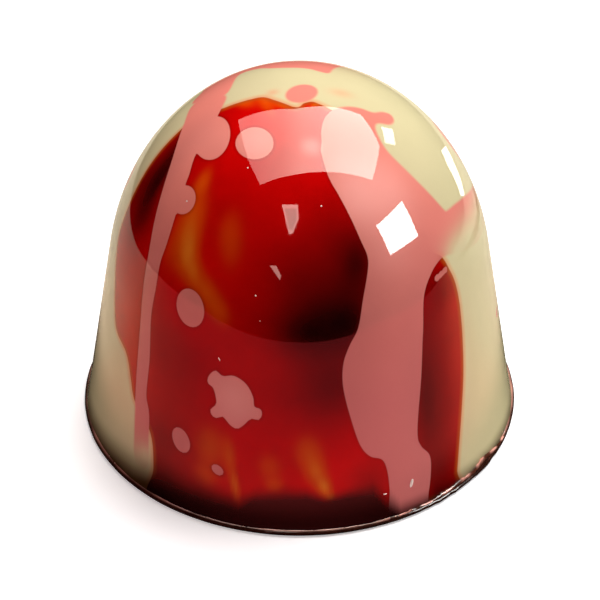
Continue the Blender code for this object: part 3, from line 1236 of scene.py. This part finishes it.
class PRALINE_OT_studio(bpy.types.Operator):
    """Makes the floor, the lamps, what the gloss reflects, and the camera"""

    bl_idname = "praline.studio"
    bl_label = "Studio"
    bl_options = {"REGISTER", "UNDO"}

    FLOOR_SIZE = 6.0
    AIM_MM = (0.04, 0.0, 8.08)
    SOFTBOX_MM = [(-135, -100), (277, -32), (297, 150), (214, 287), (-16, 190), (-208, 235),
                  (-180, 96), (-165, 3)]
    SOFTBOX_HEIGHT_MM = 300
    SOFTBOX_STOPS = [(-150, (6.5, 4.0, 3.6)), (-50, (8.8, 6.2, 5.3)), (10, (10.6, 9.0, 7.7)),
                     (120, (11.0, 10.5, 9.4))]
    HOT_SPOT_MM = (35, 15)
    KEY_MM = (120, 60, 300)
    BACK_MM = (0, 200, 260)
    FILL_MM = (-150, -190, 240)
    LAMP_SIZE_MM = 220
    ROOM_STRENGTH = 0.02
    CONTACT_SHADE_MM = (15.5, 21.0)     # the table is dark close under the rim
    PAPER_FADE_MM = (40, 160)           # beyond this the paper is plain white
    WINDOW_MM = [(271, -12, 151), (294, -36, 74), (253, -146, 97), (229, -133, 172)]
    PANE_MM = [(-56, -162, 262), (-4, -163, 261), (-2, -192, 232), (-20, -219, 205), (-32, -222, 203)]
    SLIT_MM = [(-94, -267, 140), (-72, -267, 140), (-56, -276, 117), (-60, -281, 106)]
    REAR_LAMP_MM = [(180, 169, 174), (191, 180, 142), (212, 130, 158), (206, 120, 191)]
    TABLE_MM = [
        (-44, 40), (-65, 26), (-87, 11), (-106, -10), (-119, -44), (-110, -68), (-96, -78), (-59, -80),
        (0, -80), (42, -77), (60, -76), (76, -64), (82, -45), (86, -20), (110, 8), (100, 20), (79, 35),
        (66, 44), (60, 56), (30, 70), (0, 66),
    ]
    TABLE_STOPS = [(-25, (1.35, 0.10, 0.12)), (-10, (1.30, 0.21, 0.17)), (-2, (1.22, 0.46, 0.27)),
                   (4, (0.90, 0.64, 0.42)), (20, (0.78, 0.68, 0.52))]
    TABLE_GAP_MM = [(20, 26), (34, 23.5), (50, 20.5), (77, 9), (78, 13), (51, 24.5), (35, 27.5), (20, 30)]
    SUN_PATCH_MM = [(98, 122), (41, 62), (47, 58), (49, 51), (53, 45), (72, 55), (80, 69), (116, 120)]

    def card(self, name, corners, glow):
        """A flat glowing card with these corners, in mm, which only the gloss sees."""
        mesh = bpy.data.meshes.new(name)
        mesh.from_pydata([Vector(corner) * MM for corner in corners], [], [range(len(corners))])
        card = bpy.data.objects.new(name, mesh)
        bpy.context.scene.collection.objects.link(card)
        mesh.materials.append(glow)
        card.visible_camera = False
        card.visible_diffuse = False
        card.visible_shadow = False
        card.visible_transmission = False

    def glow(self, name, colour, axis=None, stops=(), hot_spot=None, hot_gain=0.0, hot_reach=(0, 1)):
        """A light of one colour, or of a colour that changes along an axis, with or without a hot spot."""
        material = bpy.data.materials.new(name)
        material.use_nodes = True
        tree = material.node_tree
        tree.nodes.remove(tree.nodes["Principled BSDF"])
        light = add(tree, "ShaderNodeEmission", (0, 0))
        light.inputs["Color"].default_value = four(colour)
        tree.links.new(light.outputs[0], tree.nodes["Material Output"].inputs["Surface"])
        coords = add(tree, "ShaderNodeTexCoord", (-1300, 0))
        if axis:
            first, last = stops[0][0], stops[-1][0]
            parts = add(tree, "ShaderNodeSeparateXYZ", (-1100, 200))
            tree.links.new(coords.outputs["Object"], parts.inputs[0])
            along = add(tree, "ShaderNodeMapRange", (-900, 200))
            wire(tree, parts.outputs[axis], along.inputs["Value"])
            along.inputs["From Min"].default_value = first * MM
            along.inputs["From Max"].default_value = last * MM
            ramp = add(tree, "ShaderNodeValToRGB", (-700, 200))
            tree.links.new(along.outputs[0], ramp.inputs[0])
            while len(ramp.color_ramp.elements) < len(stops):
                ramp.color_ramp.elements.new(0.5)
            for element, (place, stop_colour) in zip(ramp.color_ramp.elements, stops):
                element.position = (place - first) / (last - first)
                element.color = four(stop_colour)
            tree.links.new(ramp.outputs[0], light.inputs["Color"])
        if hot_spot:
            gap = add(tree, "ShaderNodeVectorMath", (-700, -200), operation="DISTANCE")
            tree.links.new(coords.outputs["Object"], gap.inputs[0])
            gap.inputs[1].default_value = Vector(hot_spot) * MM
            gain = smooth_step(
                tree, (-500, -200), gap.outputs["Value"], hot_reach[0] * MM, hot_reach[1] * MM,
                1 + hot_gain, 1.0,
            )
            tree.links.new(gain, light.inputs["Strength"])
        return material

    def floor(self):
        deselect_all()
        bpy.ops.mesh.primitive_plane_add(size=self.FLOOR_SIZE)
        floor = bpy.context.object
        floor.name = "floor"
        material, tree, shader = new_material("floor_paper")
        shader.inputs["Base Color"].default_value = (0.93, 0.93, 0.93, 1.0)
        shader.inputs["Roughness"].default_value = 1.0
        shader.inputs["Specular IOR Level"].default_value = 0.0
        # To the camera alone the paper is brighter than the lamps make it, and plain white far away.
        coords = add(tree, "ShaderNodeTexCoord", (500, -400))
        gap = add(tree, "ShaderNodeVectorMath", (700, -400), operation="LENGTH")
        tree.links.new(coords.outputs["Object"], gap.inputs[0])
        near, far = self.PAPER_FADE_MM
        white = smooth_step(tree, (900, -400), gap.outputs["Value"], near * MM, far * MM, 0.45, 1.0)
        path = add(tree, "ShaderNodeLightPath", (1100, -300))
        lift = math_node(tree, "MULTIPLY", (1300, -300), path.outputs["Is Camera Ray"], white)
        tree.links.new(lift, shader.inputs["Emission Strength"])
        shader.inputs["Emission Color"].default_value = (1.0, 1.0, 1.0, 1.0)
        floor.data.materials.append(material)
        floor.visible_glossy = False

    def lamp(self, name, place, size, power, colour=(1.0, 1.0, 1.0)):
        data = bpy.data.lights.new(name, "AREA")
        data.color = colour
        data.size = size * MM
        data.energy = power
        lamp = bpy.data.objects.new(name, data)
        bpy.context.scene.collection.objects.link(lamp)
        lamp.location = Vector(place) * MM
        to_lamp = lamp.location - Vector(self.AIM_MM) * MM
        lamp.rotation_euler = to_lamp.to_track_quat("Z", "Y").to_euler()
        lamp.visible_glossy = False

    def lamps(self, studio):
        self.lamp("key_lamp", self.KEY_MM, self.LAMP_SIZE_MM, studio.key)
        self.lamp("back_lamp", self.BACK_MM, self.LAMP_SIZE_MM, studio.back)
        self.lamp("fill_lamp", self.FILL_MM, self.LAMP_SIZE_MM, studio.fill, (1.0, 0.10, 0.06))

    def reflections(self):
        height = self.SOFTBOX_HEIGHT_MM
        hot_spot = (*self.HOT_SPOT_MM, height)
        softbox = self.glow("softbox_glow", (1, 1, 1), "X", self.SOFTBOX_STOPS, hot_spot, 0.5, (0, 50))
        self.card("softbox", [(x, y, height) for x, y in self.SOFTBOX_MM], softbox)
        self.card("window", self.WINDOW_MM, self.glow("window_glow", (30, 30, 29)))
        self.card("pane_frame", self.PANE_MM, self.glow("pane_frame_glow", (11, 8.0, 7.2)))
        middle = sum((Vector(corner) for corner in self.PANE_MM), Vector()) / len(self.PANE_MM)
        glass = [(middle + (Vector(corner) - middle) * 0.72) * 0.98 for corner in self.PANE_MM]
        self.card("pane", glass, self.glow("pane_glow", (5.0, 6.2, 5.4)))
        self.card("slit", self.SLIT_MM, self.glow("slit_glow", (8, 5, 4.3)))
        self.card("rear_lamp", self.REAR_LAMP_MM, self.glow("rear_lamp_glow", (14, 13, 12)))
        table = self.glow(
            "table_glow", (1, 1, 1), "Y", self.TABLE_STOPS, (0, 0, 0), -1.0, self.CONTACT_SHADE_MM,
        )
        self.card("table_shine", [(x, y, 0.05) for x, y in self.TABLE_MM], table)
        gap = [(x, y, 0.1) for x, y in self.TABLE_GAP_MM]
        self.card("table_gap", gap, self.glow("table_gap_glow", (0.2, 0.1, 0.06)))
        patch = self.glow("sun_patch_glow", (7, 6.8, 6.3))
        self.card("sun_patch", [(x, y, 0.3) for x, y in self.SUN_PATCH_MM], patch)

    def room(self):
        scene = bpy.context.scene
        world = bpy.data.worlds.new("room")
        scene.world = world
        world.use_nodes = True
        background = world.node_tree.nodes["Background"]
        background.inputs["Color"].default_value = (1.0, 1.0, 1.0, 1.0)
        path = add(world.node_tree, "ShaderNodeLightPath", (-600, 0))
        seen = smooth_step(
            world.node_tree, (-300, 0), path.outputs["Is Camera Ray"], 0.0, 1.0, self.ROOM_STRENGTH, 1.0,
        )
        world.node_tree.links.new(seen, background.inputs["Strength"])
        world.cycles_visibility.glossy = False
        scene.view_settings.view_transform = "Standard"

    def camera(self, studio):
        aim = Vector(self.AIM_MM) * MM
        back = Vector((0, -math.cos(studio.camera_height), math.sin(studio.camera_height)))
        data = bpy.data.cameras.new("camera")
        data.lens = studio.lens
        data.sensor_width = 36.0
        data.clip_start = 0.01
        camera = bpy.data.objects.new("camera", data)
        bpy.context.scene.collection.objects.link(camera)
        camera.location = aim + back * studio.camera_distance
        camera.rotation_euler = back.to_track_quat("Z", "Y").to_euler()
        bpy.context.scene.camera = camera

    def execute(self, context):
        studio = context.scene.praline_studio
        self.floor()
        self.lamps(studio)
        self.reflections()
        self.room()
        self.camera(studio)
        return {"FINISHED"}


class PRALINE_PT_panel(bpy.types.Panel):
    """The praline's settings and its steps, in the order they are made"""

    bl_idname = "PRALINE_PT_panel"
    bl_label = "Praline"
    bl_space_type = "VIEW_3D"
    bl_region_type = "UI"
    bl_category = "Praline"

    def draw(self, context):
        layout = self.layout
        for group in (
            context.scene.praline_shape, context.scene.praline_colours, context.scene.praline_studio,
        ):
            box = layout.box()
            for name in group.__annotations__:
                box.prop(group, name)
        for operator in OPERATORS:
            layout.operator(operator.bl_idname)


SETTINGS = (
    ("praline_shape", PralineShape),
    ("praline_colours", PralineColours),
    ("praline_studio", PralineStudio),
)
OPERATORS = (
    PRALINE_OT_coated_shell,
    PRALINE_OT_closing_plate,
    PRALINE_OT_foot_scraps,
    PRALINE_OT_flash_lip,
    PRALINE_OT_glint_flecks,
    PRALINE_OT_studio,
)


def register():
    for name, group in SETTINGS:
        bpy.utils.register_class(group)
        setattr(bpy.types.Scene, name, bpy.props.PointerProperty(type=group))
    for operator in OPERATORS:
        bpy.utils.register_class(operator)
    bpy.utils.register_class(PRALINE_PT_panel)


def unregister():
    bpy.utils.unregister_class(PRALINE_PT_panel)
    for operator in reversed(OPERATORS):
        bpy.utils.unregister_class(operator)
    for name, group in reversed(SETTINGS):
        delattr(bpy.types.Scene, name)
        bpy.utils.unregister_class(group)


def main():
    register()
    bpy.ops.praline.coated_shell()
    bpy.ops.praline.closing_plate()
    bpy.ops.praline.foot_scraps()
    bpy.ops.praline.flash_lip()
    bpy.ops.praline.coat_flecks()
    bpy.ops.praline.studio()


if __name__ == "__main__":
    main()
